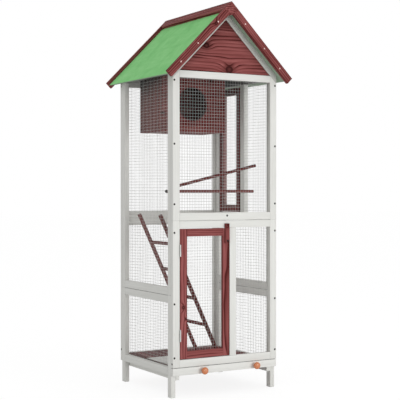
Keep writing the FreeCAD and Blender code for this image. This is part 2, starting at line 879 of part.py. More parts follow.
def all_parts():
    gable_front = front_face + gable_setback
    gable_back = back_face - gable_setback
    parts = {
        "front_upper_frame": group(upper_end_frame(front_face, front_inner,
                                                   front_rail_bottom)),
        "back_upper_frame": group(upper_end_frame(back_inner, back_face,
                                                  back_rail_bottom)),
        "front_lower_frame": group(front_lower_frame()),
        "back_lower_frame": group(back_lower_frame()),
        "left_upper_frame": group(side_upper_frame(-1)),
        "right_upper_frame": group(side_upper_frame(1)),
        "left_lower_frame": group(side_lower_frame(-1)),
        "right_lower_frame": group(side_lower_frame(1)),
        "front_gable_board": gable_board(gable_front, gable_front + gable_thickness,
                                         end_rail_top),
        "back_gable_board": gable_board(gable_back - gable_thickness, gable_back,
                                        end_rail_top),
        "frame_screws": group(frame_screws),
        "barge_screws": group(barge_screws),
        "hinge_frame_screws": group(hinge_frame_screws),
        "drawer_front": drawer_front(),
        "drawer_sides": group([drawer_side(drawer_left),
                               drawer_side(drawer_right - drawer_side_width)]),
        "drawer_back": drawer_back(),
        "drawer_floor": group(drawer_planks()),
        "drawer_knobs": group([drawer_knob(x) for x in knob_places()]),
        "drawer_runners": group([drawer_runner(-1), drawer_runner(1)]),
        "floor_board": floor_board(),
        "nest_box_front": nest_front_board(),
        "nest_box_back": nest_back_board(),
        "nest_box_sides": group([nest_side(nest_left), nest_side(nest_right - nest_wall)]),
        "nest_box_floor": nest_flat(nest_bottom, nest_bottom + nest_wall),
        "nest_box_lid": nest_flat(nest_top - nest_wall, nest_top),
        "lower_perch": perch(lower_perch_setback, lower_perch_height, 0),
        "upper_perch": perch(upper_perch_setback, upper_perch_height,
                             perch_angle_degrees),
        "perch_fixings": group([piece for spot in perch_spots
                                for piece in perch_fixing(*spot)]),
        "ladder_rails": group([ladder_rail(-1), ladder_rail(1)]),
        "ladder_rungs": group([ladder_rung(i) for i in range(ladder_rung_count)])}
    parts.update(wall_meshes())
    parts.update(roof_parts())
    places = ((front_place, front_hinges), (side_place, side_hinges))
    parts["hinge_fixed_leaves"] = group([fixed_leaf(place, middle)
                                         for place, hinges in places
                                         for middle in hinges])
    parts["hinge_pins"] = group([hinge_pin(place, middle)
                                 for place, hinges in places for middle in hinges])
    front = door_parts(front_place, front_opening_width - door_gap,
                       front_door_thickness, front_door_bottom, front_door_top,
                       front_hinges, 1)
    side = door_parts(side_place, side_opening_width - side_door_free_gap,
                      side_door_thickness, side_door_bottom, side_door_top,
                      side_hinges, -1)
    for name, door in (("front", front), ("side", side)):
        parts[name + "_door_frame"] = door["frame"]
        parts[name + "_door_mesh"] = door["mesh"]
        parts[name + "_door_hinge_leaves"] = door["leaves"]
        parts[name + "_door_screws"] = door["screws"]
        parts[name + "_turn_button"] = door["button"]
    return parts


os.makedirs("parts", exist_ok=True)
for name, shape in sorted(all_parts().items()):
    shape.exportStep("parts/" + name + ".step")
    count = len(solids(shape))
    bounds = shape.BoundBox
    print(name, count, "solids", round(bounds.XMin, 1), round(bounds.XMax, 1),
          round(bounds.YMin, 1), round(bounds.YMax, 1),
          round(bounds.ZMin, 1), round(bounds.ZMax, 1), shape.isValid())
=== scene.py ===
import math
import random

import bmesh
import bpy
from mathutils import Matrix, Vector


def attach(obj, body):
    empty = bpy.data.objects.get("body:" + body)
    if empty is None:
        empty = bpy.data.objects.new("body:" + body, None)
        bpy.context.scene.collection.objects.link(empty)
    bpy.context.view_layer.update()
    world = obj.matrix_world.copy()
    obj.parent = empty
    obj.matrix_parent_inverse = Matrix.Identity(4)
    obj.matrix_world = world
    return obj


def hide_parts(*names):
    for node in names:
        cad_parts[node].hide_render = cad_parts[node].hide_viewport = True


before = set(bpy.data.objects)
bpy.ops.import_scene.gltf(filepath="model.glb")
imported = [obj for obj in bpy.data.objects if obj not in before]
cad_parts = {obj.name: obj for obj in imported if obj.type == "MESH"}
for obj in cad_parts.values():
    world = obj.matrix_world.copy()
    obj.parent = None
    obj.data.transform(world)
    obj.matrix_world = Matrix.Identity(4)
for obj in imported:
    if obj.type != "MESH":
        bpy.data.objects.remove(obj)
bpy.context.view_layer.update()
mm = 0.001
rootTwo = math.sqrt(2)

view = {"place": (-2.23304, -3.86794, 0.82868), "yaw": 30.164, "pitch": -0.5995,
        "lens": 93.53, "sensor": 36, "shiftY": 0.0054, "reach": 60}


def link(name, data):
    made = bpy.data.objects.new(name, data)
    bpy.context.scene.collection.objects.link(made)
    return made


def aim(thing, place, ahead):
    thing.location = place
    thing.rotation_mode = "QUATERNION"
    thing.rotation_quaternion = ahead.to_track_quat("-Z", "Y")


def makeCamera():
    data = bpy.data.cameras.new("camera")
    data.lens = view["lens"]
    data.sensor_width = view["sensor"]
    data.shift_y = view["shiftY"]
    data.clip_end = view["reach"]
    camera = link("camera", data)
    yaw, pitch = math.radians(view["yaw"]), math.radians(view["pitch"])
    level = math.cos(pitch)
    aim(camera, view["place"],
        Vector((math.sin(yaw) * level, math.cos(yaw) * level, math.sin(pitch))))
    bpy.context.scene.camera = camera


makeCamera()


# shader maths: a socket that can be added, multiplied and so on
class Wire:
    def __init__(self, graph, socket):
        self.graph = graph
        self.socket = socket

    def maths(self, operation, *parts):
        isVector = any(isinstance(part, tuple) or
                       (isinstance(part, Wire) and part.socket.type != "VALUE")
                       for part in parts)
        if not isVector:
            return self.graph.value(operation, *parts)
        parts = [(part,) * 3 if isinstance(part, (int, float)) else part
                 for part in parts]
        return self.graph.node("ShaderNodeVectorMath", {"operation": operation},
                               dict(enumerate(parts)))

    def __add__(self, other):
        return self.maths("ADD", self, other)

    def __radd__(self, other):
        return self.maths("ADD", other, self)

    def __sub__(self, other):
        return self.maths("SUBTRACT", self, other)

    def __rsub__(self, other):
        return self.maths("SUBTRACT", other, self)

    def __mul__(self, other):
        return self.maths("MULTIPLY", self, other)

    def __rmul__(self, other):
        return self.maths("MULTIPLY", other, self)

    def __truediv__(self, other):
        return self.maths("DIVIDE", self, other)

    def __rtruediv__(self, other):
        return self.maths("DIVIDE", other, self)


# the nodes of one material or world
class Graph:
    def __init__(self, owner):
        owner.use_nodes = True
        self.owner = owner
        self.tree = owner.node_tree
        self.tree.nodes.clear()

    def node(self, kind, settings=None, inputs=None, output=0):
        made = self.tree.nodes.new(kind)
        for key, value in (settings or {}).items():
            if key == "stops":
                while len(made.color_ramp.elements) < len(value):
                    made.color_ramp.elements.new(0.5)
                for element, (place, colour) in zip(made.color_ramp.elements, value):
                    element.position = place
                    element.color = (*colour, 1)
            else:
                setattr(made, key, value)
        for key, value in (inputs or {}).items():
            if isinstance(value, Wire):
                self.tree.links.new(value.socket, made.inputs[key])
            else:
                if isinstance(value, tuple) and made.inputs[key].type == "RGBA":
                    value = (*value[:3], 1)
                made.inputs[key].default_value = value
        return Wire(self, made.outputs[output]) if len(made.outputs) else None

    def value(self, operation, *parts):
        return self.node("ShaderNodeMath", {"operation": operation},
                         dict(enumerate(parts)))

    def mix(self, factor, first, second):
        return self.node("ShaderNodeMix", {"data_type": "RGBA"},
                         {0: factor, 6: first, 7: second}, 2)

    def ramp(self, value, *stops):
        return self.node("ShaderNodeValToRGB", {"stops": stops}, {0: value})

    def noise(self, place, scale, detail=3.0, roughness=0.5):
        return self.node("ShaderNodeTexNoise", {},
                         {"Vector": place, "Scale": scale, "Detail": detail,
                          "Roughness": roughness})

    def step(self, value, low, high):
        return self.node("ShaderNodeMapRange", {"interpolation_type": "SMOOTHSTEP"},
                         {"Value": value, "From Min": low, "From Max": high})

    # how open the surface is to the air within a distance
    def air(self, distance):
        return self.node("ShaderNodeAmbientOcclusion", {"samples": 8},
                         {"Distance": distance}, 1)

    def grain(self):
        return self.node("ShaderNodeAttribute", {"attribute_name": "grain"}, {}, 1)

    def tone(self):
        return self.node("ShaderNodeAttribute", {"attribute_name": "tone"}, {}, 2)

    def length(self, value):
        return self.node("ShaderNodeVectorMath", {"operation": "LENGTH"}, {0: value}, 1)

    def finish(self, colour, roughness, height, depth, strength, **fixed):
        bump = self.node("ShaderNodeBump", {},
                         {"Strength": strength, "Distance": depth, "Height": height})
        inputs = {"Base Color": colour, "Roughness": roughness, "Normal": bump}
        for key, value in fixed.items():
            inputs[key.replace("_", " ")] = value
        shader = self.node("ShaderNodeBsdfPrincipled", {}, inputs)
        self.node("ShaderNodeOutputMaterial", {}, {"Surface": shader})
        return self.owner


# wood: rings round a pith line beside the stick, fine fibres and a few knots
woodLook = {"warp": 0.022, "pith": (0.0, 0.055, 0.03), "ringGap": 0.0085,
            "knotLong": 4.2, "knotWide": 24.0, "knotRare": 0.80, "knotGrow": 0.035,
            "knotLeast": 0.00001, "knotPull": -0.22}


def dimmed(colour, share):
    return tuple(part * share for part in colour)


def bulge(g, reach):
    return g.value("EXPONENT", reach * reach * woodLook["knotPull"])


# knots stand at set places in the grain, or are strewn by chance
def woodGrain(g, knots=None, ringGap=woodLook["ringGap"]):
    place = g.grain()
    flow = g.noise(place * (3.0, 14.0, 14.0), 1.0, 2.0)
    core, halo, swell = 0, 0, 0
    if knots is None:
        long, wide = woodLook["knotLong"], woodLook["knotWide"]
        spread = place * (long, wide, 0.0)
        near, luck = (
            g.node("ShaderNodeTexVoronoi", {"feature": "F1", "voronoi_dimensions": "2D"},
                   {"Vector": spread, "Scale": 1.0, "Randomness": 0.85}, output)
            for output in ("Position", "Color"))
        chance = g.node("ShaderNodeSeparateColor", {}, {0: luck})
        grown = (chance - woodLook["knotRare"]) * woodLook["knotGrow"]
        size = g.value("MAXIMUM", grown, woodLook["knotLeast"])
        away = (spread - near) / (long, wide, 1.0)
        reach = g.length(away * (0.6, 1.0, 0.0)) / size
        swell = bulge(g, reach) * size * 1.4
        core = 1 - g.step(reach, 0.75, 1.15)
        halo = 1 - g.step(reach, 0.9, 2.6)
    for x, z, radius in knots or ():
        away = place - (x, z, 0.0)
        reach = g.length(away * (0.8, 1.0, 0.0)) / radius
        heart = 1 - g.step(reach, 0.2, 0.7)
        core = 1 - g.step(reach, 0.75, 1.1) - heart * 0.55 + core
        halo = 1 - g.step(reach, 0.9, 2.4) + halo
        swell = bulge(g, reach) * (radius * 1.6) + swell
    pithAway = g.length(place * (0.0, 1.0, 1.0) + woodLook["pith"])
    pithAway = pithAway + (flow - 0.5) * woodLook["warp"] + swell
    rings = g.value("FRACT", pithAway / ringGap)
    mood = g.step(g.noise(place * (1.6, 34.0, 34.0), 1.0, 2.0), 0.36, 0.68)
    late = rings * rings * rings * (1 - g.step(rings, 0.9, 1.0)) * (mood * 1.3 + 0.2)
    fibre = g.noise(place * (22.0, 900.0, 900.0), 1.0, 3.0, 0.65)
    cloud = g.noise(place * (5.0, 60.0, 60.0), 1.0, 3.0)
    return late, fibre, cloud, core, halo


# share of late wood, fibre, cloud and tone in the shade of a finish
stainShare = {"late": 1.25, "fibre": 0.35, "cloud": 1.2, "tone": 0.24, "base": 0.12}
paintShare = {"late": 0.198, "fibre": 0.108, "cloud": 0.675, "tone": 0.162,
              "base": 0.17}
bareShare = {"late": 0.7, "fibre": 0.4, "cloud": 0.5, "tone": 0.0, "base": 0.2}


def woodShade(g, share, late, fibre, cloud):
    return (late * share["late"] + (fibre - 0.5) * share["fibre"]
            + (cloud - 0.5) * share["cloud"] + g.tone() * share["tone"] + share["base"])


# deep: distance over which a closed-in face darkens with painted shade, from clear to
# shut
def stainedWood(name, light, middle, dark, knots=None, ringGap=woodLook["ringGap"],
                gloss=0.04, deep=0.0, clear=0.55, shut=0.3):
    g = Graph(bpy.data.materials.new(name))
    late, fibre, cloud, core, halo = woodGrain(g, knots, ringGap)
    colour = g.ramp(woodShade(g, stainShare, late, fibre, cloud),
                    (0.0, light), (0.34, middle), (1.0, dark))
    colour = g.mix(halo * 0.45, colour, dark)
    colour = g.mix(core * 0.85, colour, dimmed(dark, 0.45))
    # painted shade on faces closed in within deep
    if deep:
        colour = g.mix(g.step(g.air(deep), clear, shut), colour, dimmed(dark, 0.1))
    height = fibre * 0.6 + late * 0.5
    return g.finish(colour, 0.5 + fibre * 0.18, height, 0.00035, 0.45,
                    Specular_IOR_Level=gloss)


# a tone over 1.5 marks the sticks that get painted shade, the dark shade of the eave on
# the side top rails
paintLook = {"knot": (0.50, 0.43, 0.33), "eaveShade": (0.06, 0.065, 0.055),
             "creaseShade": (0.10, 0.095, 0.085), "creaseReach": 0.004}


def paintedWood(name, base, shadow):
    g = Graph(bpy.data.materials.new(name))
    late, fibre, cloud, core, _ = woodGrain(g)
    colour = g.mix(woodShade(g, paintShare, late, fibre, cloud), base, shadow)
    colour = g.mix(core * 0.1, colour, paintLook["knot"])
    # sticks with a tone over 1.5 take the painted shade of the eave
    colour = g.mix(g.step(g.tone(), 1.5, 2.0), colour, paintLook["eaveShade"])
    # painted shade in creases and seams between parts, darker where the air is closed in
    creaseShade = g.step(g.air(paintLook["creaseReach"]), 0.0, 0.75)
    colour = g.mix(creaseShade, paintLook["creaseShade"], colour)
    height = fibre * 0.5 + late * 0.6 + core * 0.6
    return g.finish(colour, 0.44 + fibre * 0.14, height, 0.00025, 0.35)


def bareWood():
    g = Graph(bpy.data.materials.new("bareWood"))
    late, fibre, cloud, core, _ = woodGrain(g)
    colour = g.ramp(woodShade(g, bareShare, late, fibre, cloud),
                    (0.0, (0.60, 0.45, 0.28)), (0.4, (0.46, 0.31, 0.17)),
                    (1.0, (0.26, 0.15, 0.07)))
    colour = g.mix(core * 0.8, colour, (0.12, 0.06, 0.03))
    return g.finish(colour, 0.66 + fibre * 0.15, fibre, 0.0004, 0.4)


def knobWood():
    g = Graph(bpy.data.materials.new("knobWood"))
    place = g.grain()
    turned = g.node("ShaderNodeTexWave", {"wave_type": "RINGS", "rings_direction": "X"},
                    {"Vector": place, "Scale": 160.0, "Distortion": 1.6,
                     "Detail": 2.0, "Detail Scale": 1.5}, 1)
    fibre = g.noise(place * (60.0, 700.0, 700.0), 1.0, 3.0)
    colour = g.mix(turned * 0.45 + fibre * 0.35, (0.74, 0.25, 0.085),
                   (0.44, 0.115, 0.035))
    return g.finish(colour, 0.30 + fibre * 0.12, turned, 0.0002, 0.25,
                    Coat_Weight=0.5, Coat_Roughness=0.18)


def roofFelt():
    g = Graph(bpy.data.materials.new("roofFelt"))
    place = g.grain()
    grit = g.noise(place, 900.0, 2.0, 0.6)
    speck = g.node("ShaderNodeTexVoronoi", {}, {"Vector": place, "Scale": 700.0})
    blotch = g.noise(place, 14.0, 4.0, 0.6)
    streak = g.noise(place * (40.0, 7.0, 7.0), 1.0, 3.0)
    shade = (blotch - 0.5) * 1.5 + (grit - 0.5) * 0.9 + (streak - 0.5) * 0.6 + 0.5
    colour = g.ramp(shade, (0.0, (0.215, 0.62, 0.205)), (0.5, (0.285, 0.72, 0.265)),
                    (1.0, (0.36, 0.79, 0.33)))
    facing = g.node("ShaderNodeNewGeometry", {}, {}, "Normal")
    down = g.node("ShaderNodeSeparateXYZ", {}, {0: facing}, "Z")
    colour = g.mix(g.step(down, -0.1, -0.4), colour, (0.34, 0.44, 0.33))
    height = grit * 0.5 + speck * 0.6
    return g.finish(colour, 0.86 + grit * 0.1, height, 0.0009, 0.5,
                    Specular_IOR_Level=0.25)


def metalLook(name, light, dark, metallic, roughness, grit, spots=0.0, gloss=0.5):
    g = Graph(bpy.data.materials.new(name))
    place = g.node("ShaderNodeTexCoord", {}, {}, "Object")
    cloud = g.noise(place, grit, 3.0, 0.6)
    scratch = g.noise(place * (300.0, 300.0, 4000.0), 1.0, 2.0)
    dirt = g.step(g.noise(place, grit * 0.3, 3.0), 0.55, 0.72)
    colour = g.mix(cloud, light, dark)
    colour = g.mix(dirt * spots, colour, dimmed(dark, 0.45))
    return g.finish(colour, roughness + scratch * 0.16, cloud, 0.00008, 0.4,
                    Metallic=metallic, Specular_IOR_Level=gloss)


redTint = {"light": (0.360, 0.116, 0.112), "middle": (0.255, 0.072, 0.069),
           "dark": (0.085, 0.014, 0.013)}
gableTint = {"light": (0.395, 0.132, 0.126), "middle": (0.268, 0.076, 0.072),
             "dark": (0.062, 0.010, 0.009)}
# inside the cage the red stain is drawn darker: painted shade of the closed-in inside
innerShadeTint = {"light": (0.225, 0.066, 0.062), "middle": (0.155, 0.039, 0.037),
             "dark": (0.052, 0.009, 0.009)}
# a knot is its place along and across the grain, and its radius
whitePaint = paintedWood("whitePaint", (0.80, 0.80, 0.765), (0.60, 0.60, 0.565))
# rafters: grey paint, darkened further with painted shade from the roof overhang
shadedRafterPaint = paintedWood("shadedRafterPaint", (0.53, 0.53, 0.50), (0.42, 0.42, 0.39))
redStain = stainedWood("redStain", **redTint)
# red stain in painted shade for the pieces inside the cage
innerShadedStain = stainedWood("innerShadedStain", **innerShadeTint, gloss=0.03)
# the nest box also gets painted shade where it is closed in
nestShadedStain = stainedWood("nestShadedStain", **innerShadeTint, gloss=0.03, deep=0.16)
bargeStain = stainedWood("bargeStain", **redTint, knots=[(-1.0113, -1.1160, 0.0075)])
doorStain = stainedWood("doorStain", **redTint,
                        knots=[(0.3627, 0.2005, 0.0065), (0.3163, 0.1875, 0.0040)])
buttonStain = stainedWood("buttonStain", **redTint,
                          knots=[(0.6920, -0.0020, 0.0055), (0.6220, -0.0060, 0.0035)])
# the gable darkens towards the roof and rafters: painted shade of the roof overhang
gableStain = stainedWood("gableStain", **gableTint, ringGap=0.0125, deep=0.15,
                         clear=1.0, shut=0.12,
                         knots=[(0.017, 1.328, 0.0155), (-0.092, 1.420, 0.0115)])
rawBoard = bareWood()
turnedKnob = knobWood()
greenFelt = roofFelt()
meshWire = metalLook("meshWire", (0.60, 0.60, 0.58), (0.50, 0.50, 0.48), 0.25, 0.42,
                     250.0, 0.15)
zincHinge = metalLook("zincHinge", (0.62, 0.62, 0.61), (0.44, 0.44, 0.43), 0.75, 0.34,
                      300.0, 0.25)
blackScrew = metalLook("blackScrew", (0.016, 0.016, 0.016), (0.008, 0.008, 0.008), 0.0,
                       0.5, 900.0, 0.0, 0.12)
paleScrew = metalLook("paleScrew", (0.66, 0.48, 0.45), (0.44, 0.32, 0.30), 0.6, 0.36,
                      900.0, 0.2)
dullBolt = metalLook("dullBolt", (0.20, 0.19, 0.18), (0.09, 0.085, 0.08), 0.8, 0.45,
                     500.0, 0.4)
slots = {"white_paint": (whitePaint, shadedRafterPaint),
         "stained_wood": (redStain, innerShadedStain, nestShadedStain, bargeStain, doorStain,
                          buttonStain, gableStain),
         "bare_wood": (rawBoard,), "knob_wood": (turnedKnob,),
         "roof_felt": (greenFelt,), "mesh_wire": (meshWire,),
         "screw_black": (blackScrew, paleScrew)}
slotOf = {material.name: slot for slot, group in slots.items() for material in group}
print("materials made")


# a piece stands for the solid of the same name, in small letters and underscores
def nodeName(name):
    return "".join("_" + letter.lower() if letter.isupper() else letter
                   for letter in name)


def settle(name, mesh, material, rides, sharp):
    mesh.polygons.foreach_set("use_smooth", [True] * len(mesh.polygons))
    mesh.set_sharp_from_angle(angle=math.radians(sharp))
    mesh.materials.append(material)
    piece = link(name, mesh)
    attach(piece, rides)
    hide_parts(nodeName(name))


def circle(sides, spin=0.0):
    turns = [2 * math.pi * i / sides + spin for i in range(sides)]
    return [(math.cos(turn), math.sin(turn)) for turn in turns]


# faces between rings of points; a ring of one point is a tip
def joinRings(part, rings):
    sides = max(len(ring) for ring in rings)
    for near, far in zip(rings, rings[1:]):
        for i in range(sides):
            j = (i + 1) % sides
            loop = [near[i % len(near)], near[j % len(near)], far[j % len(far)],
                    far[i % len(far)]]
            part.faces.new(list(dict.fromkeys(loop)))


# pieces: every stick is a prism with softened edges, its grain run along it
stickLook = {"edge": 1.1, "sharp": 35, "grainShift": (9, 0.02, 0.012)}


class Bench:
    def __init__(self, name, material, seed, rides="cage"):
        self.name = name
        self.material = material
        self.rides = rides
        self.luck = random.Random(seed)
        self.shape = bmesh.new()
        self.shape.verts.layers.float_vector.new("grain")
        self.shape.verts.layers.float.new("tone")

    def take(self, part, along, across, offset=None, tone=None):
        bmesh.ops.recalc_face_normals(part, faces=part.faces)
        along, across = Vector(along).normalized(), Vector(across).normalized()
        depth = along.cross(across)
        if offset is None:
            offset = [self.luck.uniform(-far, far) for far in stickLook["grainShift"]]
        if tone is None:
            tone = self.luck.random()
        grain = part.verts.layers.float_vector.new("grain")
        light = part.verts.layers.float.new("tone")
        for vertex in part.verts:
            place = vertex.co
            vertex[grain] = Vector((place.dot(along), place.dot(across),
                                    place.dot(depth))) + Vector(offset)
            vertex[light] = tone
        mesh = bpy.data.meshes.new("part")
        part.to_mesh(mesh)
        part.free()
        self.shape.from_mesh(mesh)
        bpy.data.meshes.remove(mesh)

    def prism(self, outline, y0, y1, along=None, edge=stickLook["edge"], segments=2,
              **more):
        part = bmesh.new()
        low = [part.verts.new((x * mm, y0 * mm, z * mm)) for x, z in outline]
        grown = bmesh.ops.extrude_face_region(part, geom=[part.faces.new(low)])
        moved = [item for item in grown["geom"] if isinstance(item, bmesh.types.BMVert)]
        bmesh.ops.translate(part, verts=moved, vec=(0, (y1 - y0) * mm, 0))
        bmesh.ops.recalc_face_normals(part, faces=part.faces)
        bmesh.ops.bevel(part, geom=part.edges[:], offset=edge * mm, segments=segments,
                        profile=0.6, affect="EDGES", clamp_overlap=True)
        if along is None:
            xs, zs = zip(*outline)
            spans = [max(xs) - min(xs), abs(y1 - y0), max(zs) - min(zs)]
            along = [0, 0, 0]
            along[spans.index(max(spans))] = 1
        level = Vector((0, 1, 0))
        wide = Vector(along).cross(level)
        reach = [x * wide.x + z * wide.z for x, z in outline]
        if along[1]:
            across = (1, 0, 0)
        else:
            across = wide if max(reach) - min(reach) > abs(y1 - y0) else level
        self.take(part, along, across, **more)

    def box(self, x0, x1, y0, y1, z0, z1, **more):
        x0, x1 = sorted((x0, x1))
        y0, y1 = sorted((y0, y1))
        z0, z1 = sorted((z0, z1))
        self.prism([(x0, z0), (x1, z0), (x1, z1), (x0, z1)], y0, y1, **more)

    def lathe(self, profile, start, axis, offset, sides=48):
        axis = Vector(axis).normalized()
        side = axis.orthogonal().normalized()
        other = axis.cross(side)
        part = bmesh.new()
        rings = []
        for reach, radius in profile:
            centre = Vector(start) * mm + axis * reach * mm
            turns = circle(sides) if radius else [(0, 0)]
            rings.append([part.verts.new(centre + (side * a + other * b) * radius * mm)
                          for a, b in turns])
        joinRings(part, rings)
        self.take(part, axis, side, offset)

    def make(self, sharp=stickLook["sharp"]):
        mesh = bpy.data.meshes.new(self.name)
        self.shape.to_mesh(mesh)
        self.shape.free()
        settle(self.name, mesh, self.material, self.rides, sharp)


def boards(name, material, seed, boxes, rides="cage", **more):
    bench = Bench(name, material, seed, rides)
    for box in boxes:
        bench.box(*box, **more)
    bench.make()


# lengths from here on are in millimetres, shifts of the grain in metres
cage = {"half": 248.5, "front": -238.5, "back": 238.5, "stick": 31.0, "thick": 15.0,
        "side": 20.0, "sideStile": 29.0, "seam": 711.0, "sideSeam": 411.5,
        "foot": 90.0, "drawerTop": 121.5, "gap": 0.5, "frontTop": 28.0, "backTop": 30.0,
        "sideRail": 1298.0, "bottomRail": 30.0, "mullion": (17.5, 48.5),
        "freeY": 13.0, "divider": 31.0, "crossTop": 735.0, "groove": 1.2,
        # railTone over 1.5 gives the side top rails painted shade under the eave
        "railTone": 3.0}
# roof: places on a slope are (distance down it, depth under its top)
roof = {"ridge": 1599.855, "front": -283.5, "back": 283.5, "long": 421.5,
        "cap": 47.0, "capThick": 13.0, "purlin": 27.0, "felt": 1.5, "board": 9.0,
        "barge": 31.0, "bargeThick": 15.0, "bargeTone": 0.9, "rafter": 24.0,
        "gable": 12.0, "gableBack": 3.0, "gableShift": (0, 0, 0.24), "gableTone": 0.35,
        "edge": 1.0, "boardEdge": 0.3}
inner = cage["half"] - cage["side"]
stileIn = cage["half"] - cage["stick"]
frontIn = cage["front"] + cage["thick"]
backIn = cage["back"] - cage["thick"]
sideFront = frontIn + cage["sideStile"]
sideBack = backIn - cage["sideStile"]
frameFoot = cage["drawerTop"] + cage["gap"]
roofUnder = roof["capThick"] + 2 * roof["felt"] + roof["board"]
roofStart = roof["capThick"] + roof["purlin"]


def roofLine(x):
    return roof["ridge"] - rootTwo * roofUnder - abs(x)


def rafterLine(x):
    return roofLine(x) - rootTwo * roof["rafter"]


railTop = rafterLine(stileIn)
frontRail = railTop - cage["frontTop"]
backRail = railTop - cage["backTop"]


def topCut(bench, x0, x1, y0, y1, z0, line=roofLine, **more):
    bench.prism([(x0, z0), (x1, z0), (x1, line(x1)), (x0, line(x0))], y0, y1, **more)


def endFrames():
    stick, seam, foot = cage["stick"], cage["seam"], cage["foot"]
    wide = (-stileIn, stileIn)
    stiles = [(side * stileIn, side * cage["half"]) for side in (-1, 1)]
    for name, y0, y1, top, seed in (("front", cage["front"], frontIn, frontRail, 3),
                                    ("back", backIn, cage["back"], backRail, 5)):
        upper = Bench(name + "UpperFrame", whitePaint, seed)
        for stile in stiles:
            topCut(upper, *stile, y0, y1, seam, rafterLine)
        upper.box(*wide, y0, y1, seam, seam + stick)
        upper.box(*wide, y0, y1, top, railTop)
        upper.make()
    deep = (cage["front"], frontIn)
    boards("frontLowerFrame", whitePaint, 7,
           [(*stile, *deep, frameFoot, seam) for stile in stiles]
           + [(*wide, *deep, frameFoot, frameFoot + stick),
              (*wide, *deep, seam - stick, seam - cage["groove"]),
              (*cage["mullion"], *deep, frameFoot + stick, seam - stick)])
    deep = (backIn, cage["back"])
    boards("backLowerFrame", whitePaint, 9,
           [(*stile, *deep, foot, seam) for stile in stiles]
           + [(*wide, *deep, foot, cage["drawerTop"]),
              (*wide, *deep, seam - stick, seam)])


def sideFrames():
    seam, stick, foot = cage["sideSeam"], cage["stick"], cage["foot"]
    cross, rail, free = cage["crossTop"], cage["sideRail"], cage["freeY"]
    stiles = ((frontIn, sideFront), (sideBack, backIn))
    deep = (sideFront, sideBack)
    for name, side, seed in (("left", -1, 11), ("right", 1, 13)):
        wide = (side * inner, side * cage["half"])
        upper = Bench(name + "UpperFrame", whitePaint, seed)
        for stile in stiles:
            topCut(upper, *wide, *stile, seam)
        upper.box(*wide, *deep, seam, seam + stick)
        # the side top rail takes railTone, over 1.5, for painted shade under the eave
        topCut(upper, *wide, *deep, rail, along=(0, 1, 0), tone=cage["railTone"])
        if side > 0:
            upper.box(*wide, *deep, cross - stick, cross)
            upper.box(*wide, free - cage["divider"], free, cross, rail)
        upper.make()
        boards(name + "LowerFrame", whitePaint, seed + 1,
               [(*wide, *stile, 0, seam) for stile in stiles]
               + [(*wide, *deep, foot, foot + cage["bottomRail"]),
                  (*wide, *deep, seam - stick + cage["gap"], seam - cage["groove"])])


endFrames()
sideFrames()
print("frames made")


def slope(side, along, depth):
    return (side * (along - depth) / rootTwo, roof["ridge"] - (along + depth) / rootTwo)


def slopePrism(bench, side, outline, y0, y1, **more):
    points = [slope(side, a, b) for a, b in outline]
    if side < 0:
        points.reverse()
    down = (side / rootTwo, 0, -1 / rootTwo)
    bench.prism(points, y0, y1, **{"along": down, **more})


def roofTimber():
    cap, thick, far, level = roof["cap"], roof["capThick"], roofStart, (0, 1, 0)
    front, back, edge = roof["front"], roof["back"], roof["edge"]
    for name, side, start, seed in (("left", -1, thick, 21), ("right", 1, 0, 22)):
        ridge = Bench(name + "RidgeBoard", redStain, seed)
        slopePrism(ridge, side, [(start, 0), (cap, 0), (cap, thick), (start, thick)],
                   front, back, along=level, edge=edge)
        ridge.make()
    purlin = Bench("ridgePurlin", redStain, 23)
    slopePrism(purlin, 1, [(thick, thick), (far, thick), (far, far), (thick, far)],
               front, back, along=level)
    purlin.make()
    barge = Bench("bargeBoards", bargeStain, 30)
    rafters = Bench("rafters", shadedRafterPaint, 25)
    half, long, deep = cage["half"], roof["long"], roof["barge"]
    notch = roof["ridge"] - rootTwo * far
    meet = (roofLine(0) - notch) / 2
    for bargeEnds, rafterEnds in (
            ((front, front + roof["bargeThick"]), (cage["front"], frontIn)),
            ((back - roof["bargeThick"], back), (backIn, cage["back"]))):
        for side in (-1, 1):
            isKnotted = bargeEnds[0] < 0 and side < 0
            slopePrism(barge, side, [(cap, 0), (long, 0), (long, deep), (far, deep),
                                     (far, thick), (cap, thick)],
                       *bargeEnds, edge=edge, tone=roof["bargeTone"],
                       offset=(0, 0, 0) if isKnotted else None)
            points = [(side * x, z) for x, z in (
                (half, roofLine(half)), (meet, roofLine(meet)), (0, notch),
                (0, rafterLine(0)), (half, rafterLine(half)))]
            if side < 0:
                points.reverse()
            rafters.prism(points, *rafterEnds, along=(side, 0, -1))
    barge.make()
    rafters.make()
    reach = rafterLine(0) - railTop
    for name, y0, seed in (
            ("front", cage["front"] + roof["gableBack"], 27),
            ("back", cage["back"] - roof["gableBack"] - roof["gable"], 28)):
        gable = Bench(name + "GableBoard", gableStain, seed)
        gable.prism([(-reach, railTop), (reach, railTop), (0, rafterLine(0))],
                    y0, y0 + roof["gable"], along=(1, 0, 0), offset=roof["gableShift"],
                    tone=roof["gableTone"])
        gable.make()


boardTop = roof["capThick"] + roof["felt"]
boardUnder = roofUnder - roof["felt"]
boardEnd = roof["long"] + roof["capThick"] - rootTwo * roof["felt"]
boardCorners = [(roofStart, boardTop), (boardEnd - boardTop, boardTop),
                (boardEnd - boardUnder, boardUnder), (roofStart, boardUnder)]
sheetEnds = (roof["front"] + roof["bargeThick"], roof["back"] - roof["bargeThick"])
felt = {"corner": 1.4, "steps": 24, "rows": 26, "wave": 0.25, "waveDown": 0.031,
        "waveAlong": 0.017, "rough": 0.12, "lift": 0.5, "sharp": 60}


